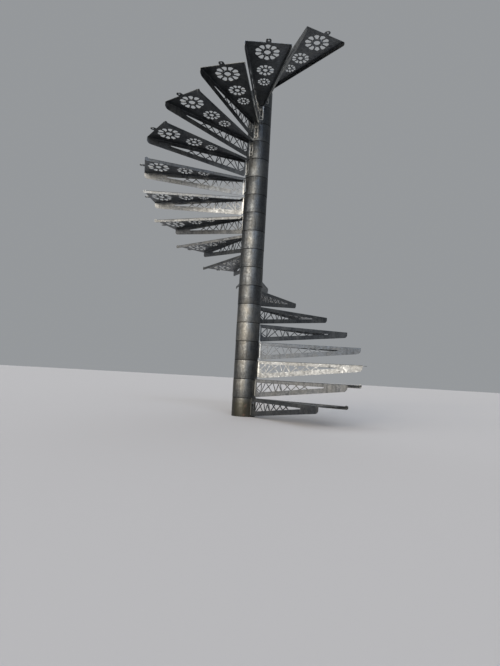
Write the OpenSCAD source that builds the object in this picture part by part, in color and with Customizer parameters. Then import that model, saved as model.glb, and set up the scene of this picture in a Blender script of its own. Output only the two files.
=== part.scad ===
// Spiral staircase: wedge treads folded from galvanised sheet, one on top of each collar of a
// round column. It climbs counter-clockwise as seen from above.
// The origin is the middle of the column on the floor, +Z is up, all sizes in millimetres.

/* [Stair] */
// Rise from one tread to the next
riser = 185; // [178:1:200]
// Turn from one tread to the next, in degrees
tread_turn = 20.2; // [20:0.1:24]
// Direction of the nosing of the lowest tread, in degrees
first_nosing = -60.2; // [-180:0.1:180]
// Share of the small turns that the treads were set down with, 0 for an even stair
hand_set = 1; // [0:0.1:1]

/* [Column] */
// Outer diameter of the collars
collar_od = 234; // [200:1:250]
// Wall of the collars
collar_wall = 4; // [3:0.5:6]
// Bevel on the rims of a collar
rim_bevel = 1.5; // [0.5:0.5:2.5]
// Outer diameter of the pole inside the collars
pole_od = 89; // [76:1:102]
// Wall of the pole
pole_wall = 5; // [4:0.5:8]

/* [Tread] */
// Distance from the column's axis to the outer edge of a tread
tread_reach = 1130; // [900:5:1400]
// Length of the outer edge
outer_width = 395; // [320:5:420]
// Thickness of the sheet
sheet = 4; // [3:0.5:5]
// Outer radius of the folds
fold_r = 7; // [6:0.5:10]
// Depth of the folded lip on the uphill edge
lip_depth = 30; // [22:1:40]
// Width of the lug on the outer edge
lug_width = 46; // [36:1:60]
// Distance that the lug stands out from the outer edge
lug_out = 48; // [40:1:70]
// Diameter of the hole in the lug
lug_hole = 17; // [11:1:20]

/* [Riser flange] */
// Gap between the flange's foot at the column and the tread below
foot_gap = 8; // [7:1:40]
// Depth of the flange at the outer edge
flange_tip = 60; // [50:1:80]
// Solid rail above the lattice
rail_top = 34; // [25:1:40]
// Solid rail below the lattice
rail_bottom = 45; // [30:1:50]
// Height of the slit that the lattice ends in
slit = 8; // [4:0.5:12]
// Width of the bars of the lattice
bar_width = 8; // [5:0.5:10]

/* [Rosettes] */
// Number of petals in a rosette
petals = 10; // [6:1:12]
// Largest diameter of a rosette
rosette_size = 212; // [150:1:220]
// Share of the tread's width that a rosette takes where it lies
rosette_share = 0.62; // [0.5:0.01:0.64]

/* [Hidden] */
$fn = 96;

// Turn of each tread away from its even place, lowest first, in degrees
set_turn = [2, 0, 0, 1, 0, -2, 0, -2, -0.5, -1, 0, 0, -0.5, 1, 0, 0, -1, 4.5];
treads = len(set_turn);
function turn_of(n) = first_nosing + edge_angle + (n - 1) * tread_turn + hand_set * set_turn[n - 1];

play = 0.5;
collar_r = collar_od / 2;
disc_r = collar_r - rim_bevel;
edge_angle = atan(outer_width / 2 / tread_reach);
edge_length = tread_reach / cos(edge_angle);

base_thick = 12;
base_od = collar_od - 2 * collar_wall - 8;
base_holes = 4;
base_hole_d = 14;
base_hole_circle = (pole_od + base_od) / 2 + 4;
cap_rim = 30;
cap_od = pole_od + 2 * cap_rim;
cap_thick = 10;
bolt_across = 36;
bolt_head = 15;
bolt_d = 24;
bolt_reach = 40;

// Places along a folded edge are measured from the column's axis.
// The upright fold to the root return comes first, then a small relief, then the long fold.
fold_in = fold_r - sheet;
root_fold_r = 11;
root_fold_in = root_fold_r - sheet;
fold_u = (collar_r + root_fold_r - root_fold_r * sin(edge_angle)) / cos(edge_angle);
flange_root = riser - foot_gap;
relief = 6;
long_fold_u = fold_u + relief;
flange_length = edge_length - fold_u;
flange_slope = atan((flange_root - flange_tip) / flange_length);
corner_round = 42;
lip_round = 18;
root_cut = 14;
return_end = 28;
return_chamfer = 10;
// Width of the two slots of the return, their middle, and their lower and upper ends
slot_width = 20;
slot_y = 6;
slots = [[-0.82 * riser, -0.68 * riser], [-0.63 * riser, -0.3 * riser]];
overlap = 8;
lap = 0.1;
neck_edge = 4;

// Ends of the lattice's bars on the top and the bottom rail, as shares of the flange's length
bars = [
    [0.08, 0.078], [0.123, 0.078], [0.2, 0.102], [0.139, 0.203], [0.22, 0.248], [0.28, 0.256],
    [0.277, 0.315], [0.301, 0.319], [0.399, 0.342], [0.358, 0.421], [0.487, 0.428], [0.473, 0.516],
    [0.583, 0.522], [0.552, 0.6]];
knee_share = 0.078;
open_start = 18;
knee = [open_start + 6, -0.51 * flange_root];

function depth_at(u) = flange_root - (flange_root - flange_tip) * u / flange_length;
return_foot = root_cut - depth_at(4 + root_cut);
function top_point(u) = [u, -rail_top];
function bottom_point(u) = [u, rail_bottom - depth_at(u)];
open_end = flange_length * (flange_root - rail_top - rail_bottom - slit) / (flange_root - flange_tip);

// The arc of a fold as points, from one angle to another around the fold's middle
function arc_points(middle, r, a, b, steps = 6) =
    [for (k = [0 : steps]) let (t = a + (b - a) * k / steps) middle + r * [cos(t), sin(t)]];

// A straight bar between two points of the flange; its ends reach into the rails
bar_end = 0.85 * bar_width;
module bar(a, b) {
    length = norm(b - a);
    translate(a) rotate(atan2(b[1] - a[1], b[0] - a[0]))
        translate([-bar_end, -bar_width / 2]) square([length + 2 * bar_end, bar_width]);
}

// One petal: a circle cut off between two lines that run apart towards the outside
module petal(r) {
    near = 0.072 * r;
    far = 0.273 * r;
    intersection() {
        translate([0.75 * r, 0]) circle(r = 0.25 * r);
        polygon([[0.45 * r, -near], [1.02 * r, -far], [1.02 * r, far], [0.45 * r, near]]);
    }
}

// One rosette: a centre hole, a ring of small diamonds and a ring of petals
module rosette(d) {
    r = d / 2;
    step = 360 / petals;
    circle(r = 0.27 * r);
    for (k = [0 : petals - 1]) rotate((k + 0.5) * step)
        translate([0.44 * r, 0]) rotate(45) square(0.075 * r, center = true);
    for (k = [0 : petals - 1]) rotate(k * step) petal(r);
}

rosette_places = [0.881, 0.649, 0.483];
function rosette_at(x) = min(rosette_size, 2 * x * tan(edge_angle) * rosette_share);
lug_x = tread_reach + lug_out - lug_width / 2;

// The flat plate of a tread with its root disc and lug; its long edges lie inside the folds
module tread_plate() {
    inset = (fold_r + overlap / 2) / cos(edge_angle);
    half = outer_width / 2 - inset;
    neck_inset = neck_edge / cos(edge_angle);
    neck_end = (long_fold_u + 3) * cos(edge_angle);
    neck_half = neck_end * tan(edge_angle) - neck_inset;
    neck_root = disc_r - 15;
    translate([0, 0, -sheet]) linear_extrude(sheet) difference() {
        union() {
            circle(r = disc_r, $fn = 120);
            polygon([[inset / tan(edge_angle), 0], [tread_reach, -half], [tread_reach, half]]);
            polygon([
                [neck_root, neck_root * tan(edge_angle) - neck_inset], [neck_end, neck_half],
                [neck_end, -neck_half], [neck_root, neck_inset - neck_root * tan(edge_angle)]]);
            translate([tread_reach - 1, -lug_width / 2]) square([lug_x - tread_reach + 1, lug_width]);
            translate([lug_x, 0]) circle(d = lug_width);
        }
        circle(d = pole_od + 2 * play);
        translate([lug_x, 0]) circle(d = lug_hole);
        for (k = rosette_places) translate([k * tread_reach, 0]) rosette(rosette_at(k * tread_reach));
    }
}

// The long fold from the plate down into a flange or lip, seen along the edge
module long_fold() {
    middle = [fold_r, -fold_r];
    outside = arc_points(middle, fold_r, 90, 180);
    inside = arc_points(middle, fold_in, 180, 90);
    translate([long_fold_u, 0, 0]) rotate([90, 0, 90]) linear_extrude(edge_length - long_fold_u + 1)
        polygon(concat([[fold_r + overlap, 0]], outside, [[0, -fold_r - 2], [sheet, -fold_r - 2]],
            inside, [[fold_r + overlap, lap - sheet]]));
}

// Outline of the riser flange, from the upright fold outwards
module flange_outline() {
    round_u = flange_length + 1 - corner_round;
    round_v = corner_round / cos(flange_slope) - depth_at(round_u);
    polygon(concat(
        [[1, -fold_r - relief], [relief, -fold_r - relief], [relief, -fold_r - 1],
        [flange_length + 1, -fold_r - 1]],
        arc_points([round_u, round_v], corner_round, 0, flange_slope - 90, 12),
        [[4 + root_cut, -depth_at(4 + root_cut)], [4, return_foot], [1, return_foot]]));
}

// Opening of the flange before its bars are put in, with its lower inner corner cut round
module flange_opening() {
    polygon([
        top_point(open_start), top_point(open_end), bottom_point(open_end),
        bottom_point(open_start + 34), [open_start + 14, -rail_top - 76], [open_start, -rail_top - 60]]);
}

module lattice() {
    for (b = bars * flange_length) bar(top_point(b[0]), bottom_point(b[1]));
    bar(knee, top_point(knee_share * flange_length));
    bar(knee, bottom_point(knee_share * flange_length));
}

module flange_sheet() {
    translate([fold_u, sheet, 0]) rotate([90, 0, 0]) linear_extrude(sheet) difference() {
        flange_outline();
        difference() {
            flange_opening();
            lattice();
        }
    }
}

// A slot with round ends, along the first axis; its ends bulge a hair past its sides
module slot(length, width) {
    half = (length - width) / 2;
    square([2 * half, width], center = true);
    for (side = [-1, 1]) translate([side * half, 0]) circle(d = width + 0.6);
}

// The upright fold and the root return along the collar, seen from above, with its two slots
module root_return() {
    along = [-sin(edge_angle), cos(edge_angle)];
    out = [cos(edge_angle), sin(edge_angle)];
    middle = [fold_u, root_fold_r];
    outside = arc_points(middle, root_fold_r, 180 + edge_angle, 270);
    inside = arc_points(middle, root_fold_in, 270, 180 + edge_angle);
    head = -fold_r - relief;
    difference() {
        translate([0, 0, return_foot]) linear_extrude(head - return_foot) polygon(concat(
            [collar_r * out + return_end * along], outside, [[fold_u + 3, 0], [fold_u + 3, sheet]],
            inside, [(collar_r + sheet) * out + return_end * along]));
        for (s = slots)
            rotate(edge_angle) translate([collar_r - 5, slot_y, (s[0] + s[1]) / 2]) rotate([0, 90, 0])
                linear_extrude(20) slot(s[1] - s[0], slot_width);
        rotate(edge_angle) translate([collar_r - 5, return_end, return_foot + return_chamfer])
            rotate([45, 0, 0]) translate([0, -2 * return_chamfer, -2 * return_chamfer])
            cube([20, 4 * return_chamfer, 2 * return_chamfer]);
    }
}

module nosing_edge() {
    rotate(-edge_angle) union() {
        long_fold();
        flange_sheet();
        root_return();
    }
}

module uphill_edge() {
    lip_length = edge_length - long_fold_u;
    round_u = lip_length + 1 - lip_round;
    mirror([0, 1, 0]) rotate(-edge_angle) union() {
        long_fold();
        translate([long_fold_u, sheet, 0]) rotate([90, 0, 0]) linear_extrude(sheet) union() {
            polygon([
                [0, -fold_r - 1], [lip_length + 1, -fold_r - 1], [lip_length + 1, lip_round - lip_depth],
                [round_u, lip_round - lip_depth], [round_u, -lip_depth],
                [lip_depth - fold_r, -lip_depth]]);
            translate([round_u, lip_round - lip_depth]) circle(r = lip_round);
        }
    }
}

module tread(n) {
    color("gray") translate([0, 0, n * riser]) rotate(turn_of(n)) union() {
        tread_plate();
        difference() {
            union() {
                nosing_edge();
                uphill_edge();
            }
            translate([tread_reach, -outer_width, -flange_root]) cube([50, 2 * outer_width, 2 * flange_root]);
        }
    }
}

// A collar is a short tube with bevelled rims
module collar(n) {
    low = n == 1 ? 0 : (n - 1) * riser;
    high = n * riser - sheet;
    inner = collar_r - collar_wall;
    color("silver") rotate_extrude($fn = 120) polygon([
        [inner, low], [disc_r, low], [collar_r, low + rim_bevel],
        [collar_r, high - rim_bevel], [disc_r, high], [inner, high]]);
}

module base_plate() {
    color("dimgray") difference() {
        cylinder(d = base_od, h = base_thick);
        for (k = [0 : base_holes - 1]) rotate(45 + k * 360 / base_holes)
            translate([base_hole_circle / 2, 0, -1]) cylinder(d = base_hole_d, h = base_thick + 2);
    }
}

module pole() {
    length = treads * riser - base_thick;
    color("dimgray") translate([0, 0, base_thick]) difference() {
        cylinder(d = pole_od, h = length);
        translate([0, 0, -1]) cylinder(d = pole_od - 2 * pole_wall, h = length + 2);
    }
}

module top_cap() {
    color("gray") translate([0, 0, treads * riser]) difference() {
        cylinder(d = cap_od, h = cap_thick);
        translate([0, 0, -1]) cylinder(d = bolt_d + 2 * play, h = cap_thick + 2);
    }
}

module top_bolt() {
    color("silver") translate([0, 0, treads * riser]) union() {
        translate([0, 0, cap_thick]) cylinder(d = bolt_across / cos(30), h = bolt_head, $fn = 6);
        translate([0, 0, -bolt_reach]) cylinder(d = bolt_d, h = bolt_reach + cap_thick + 1);
    }
}

base_plate();
pole();
top_cap();
top_bolt();
collar(1);  // collar_01
collar(2);  // collar_02
collar(3);  // collar_03
collar(4);  // collar_04
collar(5);  // collar_05
collar(6);  // collar_06
collar(7);  // collar_07
collar(8);  // collar_08
collar(9);  // collar_09
collar(10);  // collar_10
collar(11);  // collar_11
collar(12);  // collar_12
collar(13);  // collar_13
collar(14);  // collar_14
collar(15);  // collar_15
collar(16);  // collar_16
collar(17);  // collar_17
collar(18);  // collar_18
tread(1);  // tread_01
tread(2);  // tread_02
tread(3);  // tread_03
tread(4);  // tread_04
tread(5);  // tread_05
tread(6);  // tread_06
tread(7);  // tread_07
tread(8);  // tread_08
tread(9);  // tread_09
tread(10);  // tread_10
tread(11);  // tread_11
tread(12);  // tread_12
tread(13);  // tread_13
tread(14);  // tread_14
tread(15);  // tread_15
tread(16);  // tread_16
tread(17);  // tread_17
tread(18);  // tread_18
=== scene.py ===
# %% [markdown]
# # A spiral stair of galvanised sheet
#
# The real stair is a stack. Eighteen short tubes, the collars, stand on each other round a pole,
# and each one carries a tread that was laser cut and folded from one 4 mm sheet. Everything was
# dipped in molten zinc, so the whole stair is one colour: a dull blue-grey with a mottled spangle.
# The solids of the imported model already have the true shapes. This lesson gives them their
# finish and makes the column again, with soft rims and a shade of zinc for each collar.

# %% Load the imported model
import bpy
import bmesh
import math
from mathutils import Matrix, Vector


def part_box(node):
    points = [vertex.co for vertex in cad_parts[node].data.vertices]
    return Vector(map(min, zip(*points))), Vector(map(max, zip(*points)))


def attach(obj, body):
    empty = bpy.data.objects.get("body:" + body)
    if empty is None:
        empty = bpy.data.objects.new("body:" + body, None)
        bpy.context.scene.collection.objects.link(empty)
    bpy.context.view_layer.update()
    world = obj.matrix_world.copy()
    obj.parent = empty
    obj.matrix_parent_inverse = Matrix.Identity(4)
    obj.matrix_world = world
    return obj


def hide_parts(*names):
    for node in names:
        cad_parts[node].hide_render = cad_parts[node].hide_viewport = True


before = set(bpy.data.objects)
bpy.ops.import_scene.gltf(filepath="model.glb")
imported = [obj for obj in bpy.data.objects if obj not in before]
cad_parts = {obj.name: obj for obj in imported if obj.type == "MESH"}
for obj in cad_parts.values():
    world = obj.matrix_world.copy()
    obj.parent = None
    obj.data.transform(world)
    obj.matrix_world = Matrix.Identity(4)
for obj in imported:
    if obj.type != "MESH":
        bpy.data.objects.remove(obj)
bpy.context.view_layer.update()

# %% [markdown]
# The stair repeats one rule: up one riser and round one turn. The treads come with the packed
# model, turned by hand a degree or two here and there as on the real stair. What this lesson
# makes again is the column, and that needs only the rise and the sizes of a collar.

# %% Sizes of the stair
MM = 0.001
RISER = 185 * MM
SHEET = 4 * MM
COLLAR_RADIUS = 117 * MM
COLLAR_WALL = 4 * MM
COLLAR_RIM = 1.4 * MM
TREADS = 18

low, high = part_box("tread_18")
print("top tread reaches from", round(low.z, 4), "to", round(high.z, 4), "m")
print("the rule puts its face at", round(TREADS * RISER, 4), "m")

# %% [markdown]
# Materials and shapes are both built from nodes. One small function adds a node, sets its values
# and joins its inputs, so that a recipe reads from top to bottom. Colours are written as the hex
# values that a paint or web chart uses, and one function turns them into Blender's linear numbers.

# %% Helpers for colours and nodes


def colour(text):
    """Linear colour from an sRGB hex value."""
    channels = [int(text[k:k + 2], 16) / 255 for k in (1, 3, 5)]
    return [c / 12.92 if c <= 0.04045 else ((c + 0.055) / 1.055) ** 2.4 for c in channels] + [1.0]


def add(tree, kind, *values, **details):
    """Add a node to a tree.

    The values fill the inputs that are in use, in their order. Details in small letters are the
    node's settings, and those with a capital are inputs by name. A node given as a value stands
    for its first output in use.
    """
    node = tree.nodes.new(kind)
    for key, value in details.items():
        if key[0].islower():
            setattr(node, key, value)
    joined = list(zip([socket for socket in node.inputs if socket.enabled], values))
    joined += [(node.inputs[key.replace("_", " ")], details[key]) for key in details if key[0].isupper()]
    for socket, value in joined:
        if isinstance(value, bpy.types.Node):
            value = next(way_out for way_out in value.outputs if way_out.enabled)
        if isinstance(value, bpy.types.NodeSocket):
            tree.links.new(value, socket)
        else:
            socket.default_value = value
    return node


def new_material(name):
    """An empty node material; gives the material, its tree and its output node."""
    made = bpy.data.materials.new(name)
    made.use_nodes = True
    made.node_tree.nodes.clear()
    return made, made.node_tree, made.node_tree.nodes.new("ShaderNodeOutputMaterial")


print("mid grey #808080 is", [round(c, 3) for c in colour("#808080")[:3]], "in linear light")

# %% [markdown]
# Hot-dip galvanised sheet is zinc over steel. As the zinc freezes it grows flat crystals, the
# spangle, 5 to 20 mm across. Each crystal leans its own way, so it mirrors another part of its
# surroundings than its neighbours do. A Voronoi texture gives the crystals, and its colour, which
# is three random numbers for each cell, tips the normal of the whole crystal. To the eye, patches
# of the sheet light up and go dark as one walks past. A little Noise bends the crystals' edges
# first, because straight ones would look like a mosaic.

# %% Spangle
MATH, VECTOR, RANGE = "ShaderNodeMath", "ShaderNodeVectorMath", "ShaderNodeMapRange"
MIX, NOISE = "ShaderNodeMixRGB", "ShaderNodeTexNoise"
SPANGLE_MM = 14
WAVE_MM = 1.5 * SPANGLE_MM
WAVE_PUSH = 0.8 * SPANGLE_MM * MM


def per_metre(size_mm):
    """Scale of a pattern whose marks have this size."""
    return 1 / (size_mm * MM)


def spangle(tree, place):
    """Crystals with wavy edges, as three random numbers for each."""
    wave = add(tree, NOISE, Vector=place, Scale=per_metre(WAVE_MM), Detail=2.0).outputs["Color"]
    bent = add(tree, VECTOR, wave, (WAVE_PUSH,) * 3, place, operation="MULTIPLY_ADD")
    cells = add(tree, "ShaderNodeTexVoronoi", Vector=bent, Scale=per_metre(SPANGLE_MM))
    return cells.outputs["Color"]


def leaning(tree, crystal, tilt, relief):
    """The surface's normal, tipped by each crystal's own lean."""
    lean = add(tree, VECTOR, crystal, (0.5, 0.5, 0.5), operation="SUBTRACT")
    tipped = add(tree, VECTOR, lean, (tilt,) * 3, relief, operation="MULTIPLY_ADD")
    return add(tree, VECTOR, tipped, operation="NORMALIZE")


print("spangle of", SPANGLE_MM, "mm:", round(per_metre(SPANGLE_MM), 1), "crystals to a metre")

# %% [markdown]
# Months outdoors lay a powdery grey oxide over the zinc in soft clouds, and rain draws dirt down
# in tall runs. Both are Noise, the runs stretched upwards by a Mapping node. A Map Range node
# turns either into a share from 0 to 1: its first two numbers are where the mark begins and where
# it is full, and the last two are the shares there.
#
# Each tread was dipped and weathered on its own, so it has a shade of its own. Its height divided
# by the riser is its number, and White Noise draws a shade for each number. The seed and the wide
# range were picked so that light and dark treads fall about as on the real stair, where the
# light ones are those that catch the light: so the shade is partly each tread's own tone and
# partly painted highlight and shade.

# %% Oxide, runs and a shade for each tread
CLOUD_MM = 160
RUN_WIDE_MM, RUN_TALL_MM = 22, 200
POWDER_SHARE = (0.44, 0.66, 0.0, 0.7)
STREAK_SHARE = (0.52, 0.72, 0.0, 0.55)
# The seed and the range make some treads much lighter than others: partly own tone, partly painted
# highlight and shade.
SHADE_SEED = 36250
SHADES = (0.75, 1.6)


def clouds_and_runs(tree, place):
    """Soft clouds, a place stretched upwards, and the tall runs drawn on it."""
    cloud = add(tree, NOISE, Vector=place, Scale=per_metre(CLOUD_MM), Detail=6.0, Roughness=0.65)
    stretch = (per_metre(RUN_WIDE_MM), per_metre(RUN_WIDE_MM), per_metre(RUN_TALL_MM))
    tall = add(tree, "ShaderNodeMapping", Vector=place, Scale=stretch)
    return cloud, tall, add(tree, NOISE, Vector=tall, Scale=1.0, Detail=5.0, Roughness=0.6)


def weathered(tree, zinc, powder, run, oxide, grime):
    """Zinc under powdery oxide, with grime in the runs."""
    dulled = add(tree, MIX, powder, zinc, colour(oxide))
    streak = add(tree, RANGE, run, *STREAK_SHARE)
    return add(tree, MIX, streak, dulled, colour(grime))


def tread_tone_and_painted_light(tree, height):
    """A shade for each tread, drawn by its number, partly own tone and partly painted highlight; its top
    face counts as its own.
    """
    level = add(tree, MATH, height, 1 * MM, operation="SUBTRACT")
    risers = add(tree, MATH, level, RISER, operation="DIVIDE")
    number = add(tree, MATH, risers, operation="CEIL")
    seeded = add(tree, MATH, number, SHADE_SEED, operation="ADD")
    luck = add(tree, "ShaderNodeTexWhiteNoise", W=seeded, noise_dimensions="1D")
    return add(tree, RANGE, luck, 0, 1, *SHADES)


print("clouds", CLOUD_MM, "mm, runs", RUN_WIDE_MM, "by", RUN_TALL_MM, "mm, shades", SHADES)

# %% [markdown]
# Other marks follow the build of the stair. The joints of the column, once a riser, are painted
# dark: partly grime, partly painted shade for the gap where a tread's disc meets the collars.
# Folding the height at every riser finds them all with one sum. The bent root of each tread hugs
# the column, so a ring of radii finds it, and there the zinc is painted lighter: a painted
# highlight for the shine of the round bend. The lowest collar is painted dark: partly mud that
# rain splashes up, with a few first spots of rust, partly painted shade where the ground keeps
# the light off the foot. The mud and shade are drawn on the same stretched place as the runs,
# about three times as large.

# %% Marks that follow the build
COLUMN_EDGE = COLLAR_RADIUS + 1.5 * MM
RIM_EDGE = COLLAR_RADIUS - 8 * MM
# Where the bent roots are painted lighter: a painted highlight for the shine of their round bends.
ROOT_HIGHLIGHT_SHARE = (COLLAR_RADIUS + 24 * MM, COLLAR_RADIUS + 15 * MM)
ROOT_HIGHLIGHT_PATCHES = (0.4, 0.6, 0.9, 0.55)
# Where the joints are painted dark: grime, and painted shade of the gap at the tread discs.
JOINT_DARK_SHARE = (6.2 * MM, 3.4 * MM, 0.0, 0.95)
JOINT_WAVE = 4 * MM
# The foot is painted dark: mud, and painted shade where the ground keeps the light off it.
FOOT_DARK_SHARE = (190 * MM, 130 * MM)
MUD_AND_SHADE_SCALE = 0.35
MUD_AND_SHADE_PATCHES = (0.35, 0.6, 0.65, 1.0)
RUST_MM = 36
RUST_SPOTS = (0.6, 0.7, 0.0, 0.65)


def axis_distance(tree, x, y):
    """How far a point lies from the stair's axis."""
    across = add(tree, MATH, x, x, operation="MULTIPLY")
    along = add(tree, MATH, y, y, operation="MULTIPLY")
    both = add(tree, MATH, across, along, operation="ADD")
    return add(tree, MATH, both, operation="SQRT")


def root_highlight_share(tree, radius, cloud):
    """Where the bent roots get their painted highlight, painted as a much lighter zinc."""
    near = add(tree, RANGE, radius, *ROOT_HIGHLIGHT_SHARE)
    outside = add(tree, MATH, radius, COLUMN_EDGE, operation="GREATER_THAN")
    hugging = add(tree, MATH, near, outside, operation="MULTIPLY")
    return add(tree, MATH, hugging, add(tree, RANGE, cloud, *ROOT_HIGHLIGHT_PATCHES), operation="MULTIPLY")


def joint_grime_and_shade_share(tree, height, radius, run, column):
    """Where the joints between the collars are painted dark, grime and painted shade of the gap, on
    their rims only.
    """
    raised = add(tree, MATH, height, SHEET / 2, operation="ADD")
    folded = add(tree, MATH, raised, RISER / 2, operation="PINGPONG")
    wavy = add(tree, MATH, run, JOINT_WAVE, folded, operation="MULTIPLY_ADD")
    joint = add(tree, RANGE, wavy, *JOINT_DARK_SHARE)
    rim = add(tree, MATH, radius, RIM_EDGE, operation="GREATER_THAN")
    outer = add(tree, MATH, column, rim, operation="MULTIPLY")
    return add(tree, MATH, joint, outer, operation="MULTIPLY")


def foot_mud_shade_and_rust(tree, place, tall, height, column):
    """Where the foot of the column is painted dark, mud and painted shade, and where rust lies."""
    low_down = add(tree, RANGE, height, *FOOT_DARK_SHARE)
    at_foot = add(tree, MATH, column, low_down, operation="MULTIPLY")
    foot_blotch = add(tree, NOISE, Vector=tall, Scale=MUD_AND_SHADE_SCALE, Detail=4.0)
    mud_and_shade = add(tree, MATH, at_foot, add(tree, RANGE, foot_blotch, *MUD_AND_SHADE_PATCHES), operation="MULTIPLY")
    freckle = add(tree, NOISE, Vector=place, Scale=per_metre(RUST_MM), Detail=3.0)
    rust = add(tree, MATH, at_foot, add(tree, RANGE, freckle, *RUST_SPOTS), operation="MULTIPLY")
    return mud_and_shade, rust


print("joints are fully dark", JOINT_DARK_SHARE[1] / MM, "mm to each side, less the waves")

# %% [markdown]
# The skin of the metal comes next. A bump of fine grit, drawn at 4 mm because the real one is too
# fine to show, keeps the crystals from looking polished. Each crystal has its own gloss too.
# Powder, the grime and painted shade of the joints, and the mud and painted shade of the foot are
# matt; mud and rust are no metal, so these marks raise Roughness, and the foot and the rust lower
# Metallic, by their share.

# %% The skin of the metal
GRIT_MM = 4
GRIT_HEIGHT = 0.5 * MM
GRIT_STRENGTH = 0.25
DULLER, GLOSSIER = 0.07, 0.09
JOINT_MATT, POWDER_MATT, MUD_AND_SHADE_MATT = 0.4, 0.16, 0.08
MUD_AND_SHADE_HIDES, RUST_HIDES = 0.3, 0.7


def marked_gloss(tree, luck, roughness, joint, powder, mud_and_shade):
    """Each crystal's roughness, and more of it under the matt marks."""
    gloss = add(tree, RANGE, luck, 0, 1, roughness - GLOSSIER, roughness + DULLER)
    for share, matt in ((joint, JOINT_MATT), (powder, POWDER_MATT), (mud_and_shade, MUD_AND_SHADE_MATT)):
        gloss = add(tree, MATH, share, matt, gloss, operation="MULTIPLY_ADD")
    return gloss


def bare_metal(tree, mud_and_shade, rust):
    """How much of the metal is bare of the foot's mud and painted shade, and of rust."""
    bare = 1.0
    for share, hidden in ((mud_and_shade, MUD_AND_SHADE_HIDES), (rust, RUST_HIDES)):
        bare = add(tree, MATH, share, -hidden, bare, operation="MULTIPLY_ADD")
    return bare


def zinc_skin(tree, place, crystal, tilt, **surface):
    """The metal over leaning crystals and fine grit."""
    grit = add(tree, NOISE, Vector=place, Scale=per_metre(GRIT_MM), Detail=3.0)
    grain = {"Strength": GRIT_STRENGTH, "Distance": GRIT_HEIGHT, "Height": grit}
    relief = add(tree, "ShaderNodeBump", **grain)
    normal = leaning(tree, crystal, tilt, relief)
    return add(tree, "ShaderNodeBsdfPrincipled", Normal=normal, **surface)


print("grit", GRIT_MM, "mm wide and", GRIT_HEIGHT / MM, "mm high at full strength")

# %% [markdown]
# Now the finish is put together from the bottom up: zinc, oxide, then the marks. The sheets and
# the tubes share it and differ in shade. The treads' shade, partly painted highlight, comes from
# their height. The tubes read theirs, partly a painted reflection of the sky, from an attribute,
# tube_tint, that the column further down stores for each collar. Both are a satin metal, so
# highlights are broad and soft, about midway between a mirror and chalk.

# %% Galvanised sheet and tube
SPARKLE = (0.78, 1.25)
# The joint colour is grime and painted shade of the gap; the foot colour is mud and painted shade.
JOINT_GRIME_AND_SHADE, FOOT_MUD_AND_SHADE, RUST = "#141516", "#28271f", "#40281c"


def galvanised(name, base, oxide, grime, roughness, tilt, tint=None, root=None):
    """Zinc with spangle, oxide and runs, and the marks that follow the build."""
    made, tree, output = new_material(name)
    place = add(tree, "ShaderNodeTexCoord").outputs["Object"]
    x, y, height = add(tree, "ShaderNodeSeparateXYZ", place).outputs
    radius = axis_distance(tree, x, y)
    cloud, tall, run = clouds_and_runs(tree, place)
    crystal = spangle(tree, place)
    luck = add(tree, "ShaderNodeSeparateColor", crystal).outputs

    sparkle = add(tree, RANGE, luck[0], 0, 1, *SPARKLE)
    zinc = add(tree, MIX, 1.0, colour(base), sparkle, blend_type="MULTIPLY")
    if not tint:
        zinc = add(tree, MIX, 1.0, zinc, tread_tone_and_painted_light(tree, height), blend_type="MULTIPLY")
    powder = add(tree, RANGE, cloud, *POWDER_SHARE)
    tone = weathered(tree, zinc, powder, run, oxide, grime)
    if tint:
        shade = add(tree, "ShaderNodeAttribute", attribute_name=tint)
        tone = add(tree, MIX, 1.0, tone, shade, blend_type="MULTIPLY")
    # The bent roots of the sheets are painted a much lighter zinc: a painted highlight.
    if root:
        tone = add(tree, MIX, root_highlight_share(tree, radius, cloud), tone, colour(root))

    column = add(tree, MATH, radius, COLUMN_EDGE, operation="LESS_THAN")
    joint = joint_grime_and_shade_share(tree, height, radius, run, column)
    mud_and_shade, rust = foot_mud_shade_and_rust(tree, place, tall, height, column)
    # The dark joints and foot are partly grime and mud, partly painted shade.
    for share, mark in ((joint, JOINT_GRIME_AND_SHADE), (mud_and_shade, FOOT_MUD_AND_SHADE), (rust, RUST)):
        tone = add(tree, MIX, share, tone, colour(mark))

    gloss = marked_gloss(tree, luck[1], roughness, joint, powder, mud_and_shade)
    bare = bare_metal(tree, mud_and_shade, rust)
    surface = {"Base_Color": tone, "Metallic": bare, "Roughness": gloss}
    metal = zinc_skin(tree, place, crystal, tilt, **surface)
    tree.links.new(metal.outputs[0], output.inputs[0])
    return made


# The sheet's root colour is a painted highlight on the bent roots of the treads.
sheet_zinc = galvanised(
    "galvanised_sheet", "#4d5053", oxide="#686a6a", grime="#222527",
    roughness=0.44, tilt=0.08, root="#a3a5a4",
)
tube_zinc = galvanised(
    "galvanised_tube", "#575b5f", oxide="#686865", grime="#2b2926",
    roughness=0.43, tilt=0.065, tint="tube_tint",
)
for made in (sheet_zinc, tube_zinc):
    print("made", made.name, "with", len(made.node_tree.nodes), "nodes")

# %% [markdown]
# The pole and its base plate are hidden in the column. The one bolt on top is zinc plated at the
# works, a thinner and brighter coat than dipping gives, without spangle, so its highlight is
# sharper and its colour a little warmer.

# %% Plain steel and bolt finish
PATCH_LIGHT = (0.7, 1.25)
PATCH_GLOSS = 0.1


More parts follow.
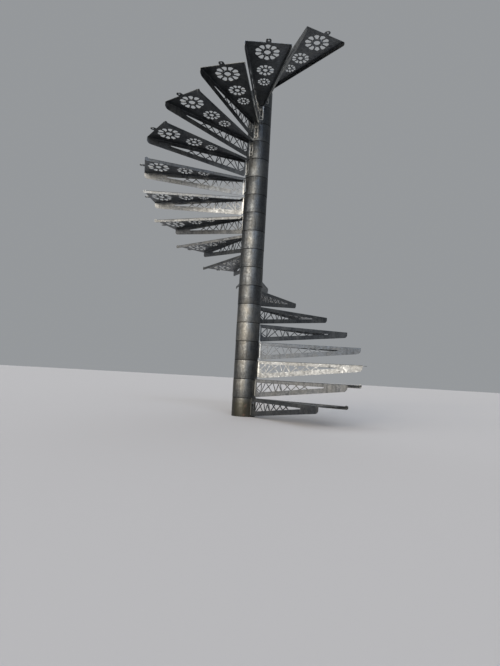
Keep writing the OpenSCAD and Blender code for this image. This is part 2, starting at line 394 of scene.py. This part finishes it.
def plain_metal(name, base, roughness, patch_mm):
    """Even metal with faint patches."""
    made, tree, output = new_material(name)
    place = add(tree, "ShaderNodeTexCoord").outputs["Object"]
    patch = add(tree, NOISE, Vector=place, Scale=per_metre(patch_mm), Detail=3.0)
    light = add(tree, RANGE, patch, 0, 1, *PATCH_LIGHT)
    tone = add(tree, MIX, 1.0, colour(base), light, blend_type="MULTIPLY")
    gloss = add(tree, RANGE, patch, 0, 1, roughness - PATCH_GLOSS, roughness + PATCH_GLOSS)
    metal = add(tree, "ShaderNodeBsdfPrincipled", Base_Color=tone, Metallic=1.0, Roughness=gloss)
    tree.links.new(metal.outputs[0], output.inputs[0])
    return made


pole_steel = plain_metal("galvanised_pole", "#6a6c6e", roughness=0.5, patch_mm=30)
bolt_zinc = plain_metal("zinc_plated_bolt", "#96958c", roughness=0.34, patch_mm=6)
print("made", pole_steel.name, "and", bolt_zinc.name)

# %% [markdown]
# A solid's name begins with what it is, so a short table from names to finishes dresses them all.
# The cap plate on top is cut from sheet, and takes the sheet's finish. The collars are dressed
# too, though the column that is made next stands for them.

# %% Give the solids their finish
FINISH = {
    "tread": sheet_zinc,
    "collar": tube_zinc,
    "pole": pole_steel,
    "base": pole_steel,
    "top_cap": sheet_zinc,
    "top_bolt": bolt_zinc,
}
for name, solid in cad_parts.items():
    finish = next(made for start, made in FINISH.items() if name.startswith(start))
    solid.data.materials.clear()
    solid.data.materials.append(finish)
print("finished", len(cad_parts), "solids")

# %% [markdown]
# The column follows a rule, so Geometry Nodes make it. Three helpers serve any such tree: one
# starts it with named inputs for its sizes, one ends it, and one runs it and keeps the result as
# a plain mesh. The end makes the copies real, because an export would drop them.

# %% Helpers for Geometry Nodes


def shape_tree(name, sizes):
    """An empty Geometry Nodes tree with named inputs; gives the tree, its inputs and its end."""
    tree = bpy.data.node_groups.new(name, "GeometryNodeTree")
    for title, kind in sizes.items():
        tree.interface.new_socket(name=title, in_out="INPUT", socket_type=kind)
    tree.interface.new_socket(name="Geometry", in_out="OUTPUT", socket_type="NodeSocketGeometry")
    return tree, tree.nodes.new("NodeGroupInput").outputs, tree.nodes.new("NodeGroupOutput")


def close_tree(tree, end, shape, finish):
    """Realize the instances, set the material and join the end."""
    real = add(tree, "GeometryNodeRealizeInstances", Geometry=shape)
    dressed = add(tree, "GeometryNodeSetMaterial", Geometry=real, Material=finish)
    tree.links.new(dressed.outputs[0], end.inputs[0])


def grown(name, tree, values):
    """Run a tree on an empty object and keep the result as a plain mesh."""
    host = bpy.data.objects.new(name + "_host", bpy.data.meshes.new(name + "_host"))
    bpy.context.scene.collection.objects.link(host)
    modifier = host.modifiers.new("shape", "NODES")
    modifier.node_group = tree
    inputs = [item for item in tree.interface.items_tree if item.in_out == "INPUT"]
    sockets = {item.name: item.identifier for item in inputs}
    for title, value in values.items():
        modifier[sockets[title]] = value
    bpy.context.view_layer.update()
    evaluated = host.evaluated_get(bpy.context.evaluated_depsgraph_get())
    mesh = bpy.data.meshes.new_from_object(evaluated)
    host.modifiers.remove(modifier)
    bpy.data.objects.remove(host)
    mesh.name = name
    made = bpy.data.objects.new(name, mesh)
    bpy.context.scene.collection.objects.link(made)
    return made


def triangles(piece):
    """How many triangles a piece has."""
    piece.data.calc_loop_triangles()
    return len(piece.data.loop_triangles)


print("the solids have", sum(len(solid.data.polygons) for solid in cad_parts.values()), "faces")

# %% [markdown]
# A thin upright rectangle, the cut through one wall, gets round corners and is swept round a
# circle to give one collar. That collar is put on a row of points, one for each riser. Real
# collars are cut and stacked by hand, so each sits up to a millimetre out of line, by a number
# drawn from a fixed seed.

# %% The shape of the column
FLOAT, COUNT = "NodeSocketFloat", "NodeSocketInt"
ROUND_STEPS = 96
RIM_STEPS = 3
PLAY = (1.1 * MM, 1.1 * MM, 0)
NEGATIVE_PLAY = tuple(-p for p in PLAY)
DRIFT_SEED = 4

sizes = {"Count": COUNT, "Riser": FLOAT, "Radius": FLOAT, "Wall": FLOAT, "Height": FLOAT, "Rim": FLOAT}
tree, size, end = shape_tree("collar_stack", sizes)
cut = add(tree, "GeometryNodeCurvePrimitiveQuadrilateral", Width=size["Wall"], Height=size["Height"])
rounding = {"mode": "POLY", "Count": RIM_STEPS, "Radius": size["Rim"]}
rimmed = add(tree, "GeometryNodeFilletCurve", Curve=cut, **rounding)
middle = add(tree, MATH, size["Wall"], -0.5, size["Radius"], operation="MULTIPLY_ADD")
ring = add(tree, "GeometryNodeCurvePrimitiveCircle", Resolution=ROUND_STEPS, Radius=middle)
tube = add(tree, "GeometryNodeCurveToMesh", Curve=ring, Profile_Curve=rimmed)
smooth = add(tree, "GeometryNodeSetShadeSmooth", Geometry=tube, Shade_Smooth=True)

half = add(tree, MATH, size["Height"], 0.5, operation="MULTIPLY")
first = add(tree, "ShaderNodeCombineXYZ", Z=half)
step = add(tree, "ShaderNodeCombineXYZ", Z=size["Riser"])
row = add(tree, "GeometryNodeMeshLine", Count=size["Count"], Start_Location=first, Offset=step)
chance = {"data_type": "FLOAT_VECTOR", "Seed": DRIFT_SEED}
drift = add(tree, "FunctionNodeRandomValue", NEGATIVE_PLAY, PLAY, **chance)
nudged = add(tree, "GeometryNodeSetPosition", Geometry=row, Offset=drift)
stack = add(tree, "GeometryNodeInstanceOnPoints", Points=nudged, Instance=smooth)
print("tree", tree.name, "has", len(tree.nodes), "nodes so far")

# %% [markdown]
# Each collar has its own shade of zinc too: a random number turned into a grey, with the seed
# picked as that of the treads was. The collar's place in the row is turned from a warm white at
# the bottom to a cool one at the top: the warmth is dust from the ground, and the cool is a
# painted reflection of the blue sky above. The product of both is stored on the copies, and is
# still there when they have become one mesh.

# %% A shade for each collar
COLLAR_SEED = 30675
DULL_ZINC, BRIGHT_ZINC = colour("#b8b8b8"), colour("#f8f8f8")
# Warm at the bottom for dust; the cool at the top is a painted reflection of the blue sky.
DUSTY, SKY_COOL = colour("#fffaf2"), colour("#f2f8ff")

luck = add(tree, "FunctionNodeRandomValue", data_type="FLOAT", Seed=COLLAR_SEED)
zinc = add(tree, "ShaderNodeMix", luck, DULL_ZINC, BRIGHT_ZINC, data_type="RGBA")
place = add(tree, "GeometryNodeInputIndex")
share = add(tree, MATH, place, size["Count"], operation="DIVIDE")
dust_and_sky_tint = add(tree, "ShaderNodeMix", share, DUSTY, SKY_COOL, data_type="RGBA")
shade = add(tree, "ShaderNodeMix", 1.0, zinc, dust_and_sky_tint, data_type="RGBA", blend_type="MULTIPLY")
keeping = {"data_type": "FLOAT_COLOR", "domain": "INSTANCE", "Name": "tube_tint"}
tinted = add(tree, "GeometryNodeStoreNamedAttribute", Geometry=stack, Value=shade, **keeping)
close_tree(tree, end, tinted, tube_zinc)
print("tree", tree.name, "has", len(tree.nodes), "nodes in all")

# %% Grow the column
stacking = {"Count": TREADS, "Riser": RISER}
collar = {"Radius": COLLAR_RADIUS, "Wall": COLLAR_WALL, "Height": RISER - SHEET, "Rim": COLLAR_RIM}
column = grown("collar_stack", tree, {**stacking, **collar})
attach(column, "root")
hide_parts(*[f"collar_{k:02d}" for k in range(1, TREADS + 1)])
print("column:", triangles(column), "triangles, shades kept:", "tube_tint" in column.data.attributes)

# %% [markdown]
# The picture is taken from just above the floor, looking slightly up, with the camera rolled
# three degrees. The lens and place were worked out from the corners of the treads. The lens is
# given in pixels of a picture whose long side has 666 of them.

# %% Camera
CAMERA_PLACE = (0.01596, -5.22341, 0.4033)
PITCH, YAW, ROLL = math.radians(4.634), math.radians(0.066), math.radians(3.249)
LENS_PX, LONG_SIDE_PX = 522.24, 666
SENSOR_MM = 36.0


def make_camera():
    """The camera, turned by its three angles."""
    data = bpy.data.cameras.new("camera")
    data.sensor_width = SENSOR_MM
    data.lens = LENS_PX / LONG_SIDE_PX * SENSOR_MM
    made = bpy.data.objects.new("camera", data)
    level = Vector((math.sin(YAW), math.cos(YAW), 0))
    ahead = math.cos(PITCH) * level + math.sin(PITCH) * Vector((0, 0, 1))
    right = Vector((math.cos(YAW), -math.sin(YAW), 0))
    up = right.cross(ahead)
    rolled_right = math.cos(ROLL) * right + math.sin(ROLL) * up
    rolled_up = math.cos(ROLL) * up - math.sin(ROLL) * right
    axes = Matrix((rolled_right, rolled_up, -ahead)).transposed()
    made.matrix_world = Matrix.Translation(CAMERA_PLACE) @ axes.to_4x4()
    bpy.context.scene.collection.objects.link(made)
    bpy.context.scene.camera = made
    return made


camera = make_camera()
print("lens", round(camera.data.lens, 2), "mm")

# %% [markdown]
# A plain floor takes the shadow. It is a very wide disc, so that its edge lies at the horizon,
# and it starts a hair below the foot, so that the two faces don't flicker through each other.

# %% Floor
FLOOR_RADIUS = 60.0
FLOOR_DROP = 0.5 * MM
FLOOR_GREY = "#bcbcbe"


def make_floor():
    """A round pale floor."""
    mesh = bpy.data.meshes.new("floor")
    shape = bmesh.new()
    bmesh.ops.create_circle(shape, cap_ends=True, segments=ROUND_STEPS, radius=FLOOR_RADIUS)
    shape.to_mesh(mesh)
    shape.free()
    made = bpy.data.objects.new("floor", mesh)
    bpy.context.scene.collection.objects.link(made)
    paint, tree, output = new_material("pale_floor")
    face = add(tree, "ShaderNodeBsdfPrincipled", Base_Color=colour(FLOOR_GREY), Roughness=0.9)
    tree.links.new(face.outputs[0], output.inputs[0])
    mesh.materials.append(paint)
    made.location.z = -FLOOR_DROP
    return made


floor = make_floor()
print("floor:", triangles(floor), "triangles,", 2 * FLOOR_RADIUS, "m across")

# %% [markdown]
# The main light is a wide soft lamp low in the front left, so the round column gets one tall
# highlight left of its middle and a dark right side. Two weak lamps beside it widen that
# highlight, one high in front reaches down between the treads, and one high behind keeps the far
# side readable. All are far lamps with a wide disc, the Sun type, because a lamp near the stair
# would leave a bright pool on the floor beside it.

# %% Lamps and background
LAMP_DISTANCE = 12
SKY_COLOUR, SKY_STRENGTH = "#dfe3e7", 0.41


def soft_lamp(name, bearing, height, spread, strength, tint):
    """A wide far lamp. Its angles are in degrees; bearing -90 is the camera's side."""
    data = bpy.data.lights.new(name, "SUN")
    data.angle = math.radians(spread)
    data.energy = strength
    data.color = colour(tint)[:3]
    made = bpy.data.objects.new(name, data)
    aim, lift = math.radians(bearing), math.radians(height)
    level = Vector((math.cos(aim), math.sin(aim), 0))
    place = math.cos(lift) * level + math.sin(lift) * Vector((0, 0, 1))
    made.location = LAMP_DISTANCE * place
    made.rotation_euler = (-place).to_track_quat("-Z", "Y").to_euler()
    bpy.context.scene.collection.objects.link(made)


soft_lamp("key_lamp", bearing=-117, height=9, spread=38, strength=5.0, tint="#fff1df")
soft_lamp("left_lamp", bearing=-157, height=12, spread=34, strength=1.1, tint="#fdf1e4")
soft_lamp("front_lamp", bearing=-82, height=9, spread=30, strength=0.5, tint="#f2f4f8")
soft_lamp("high_lamp", bearing=-77, height=36, spread=36, strength=1.1, tint="#dce8fb")
soft_lamp("back_lamp", bearing=95, height=50, spread=40, strength=0.6, tint="#eef3fa")

world = bpy.data.worlds.new("pale_sky")
world.use_nodes = True
sky = world.node_tree.nodes["Background"].inputs
sky["Color"].default_value = colour(SKY_COLOUR)
sky["Strength"].default_value = SKY_STRENGTH
bpy.context.scene.world = world
bpy.context.scene.view_settings.view_transform = "Standard"
print("lamps:", [lamp.name for lamp in bpy.data.lights])
